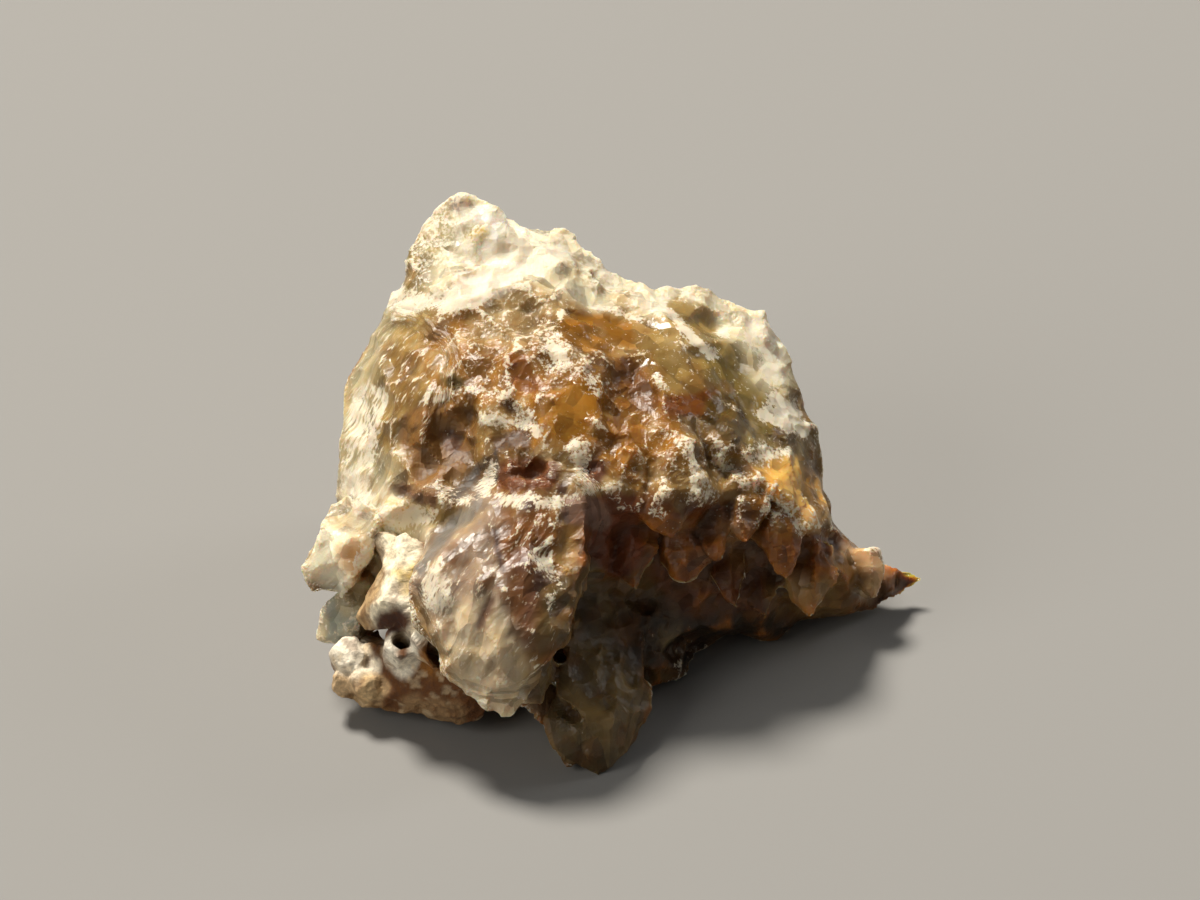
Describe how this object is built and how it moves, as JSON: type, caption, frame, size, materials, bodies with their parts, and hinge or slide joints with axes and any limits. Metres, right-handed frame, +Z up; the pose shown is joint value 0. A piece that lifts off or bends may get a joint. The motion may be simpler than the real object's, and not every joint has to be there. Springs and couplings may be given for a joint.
{
  "type": "rough herderite crystal",
  "caption": "Rough translucent brown and amber herderite crystal, broken on all sides, with a remnant of cream and rusty matrix at its foot.",
  "frame": {"origin": "middle of the stone's box, on the surface that it stands on", "axes": "+Z up as it rests, -Y towards the front face with the striated lobe, +X towards the tapering tail"},
  "size_m": [0.0314, 0.026, 0.0183],
  "materials": {
    "herderite": "translucent, vitreous on its breaks and frosted on its crests",
    "matrix": "dull and earthy, cream to rusty brown"
  },
  "bodies": {
    "root": {"herderite_crystal": "herderite", "matrix_remnant": "matrix"}
  },
  "joints": []
}
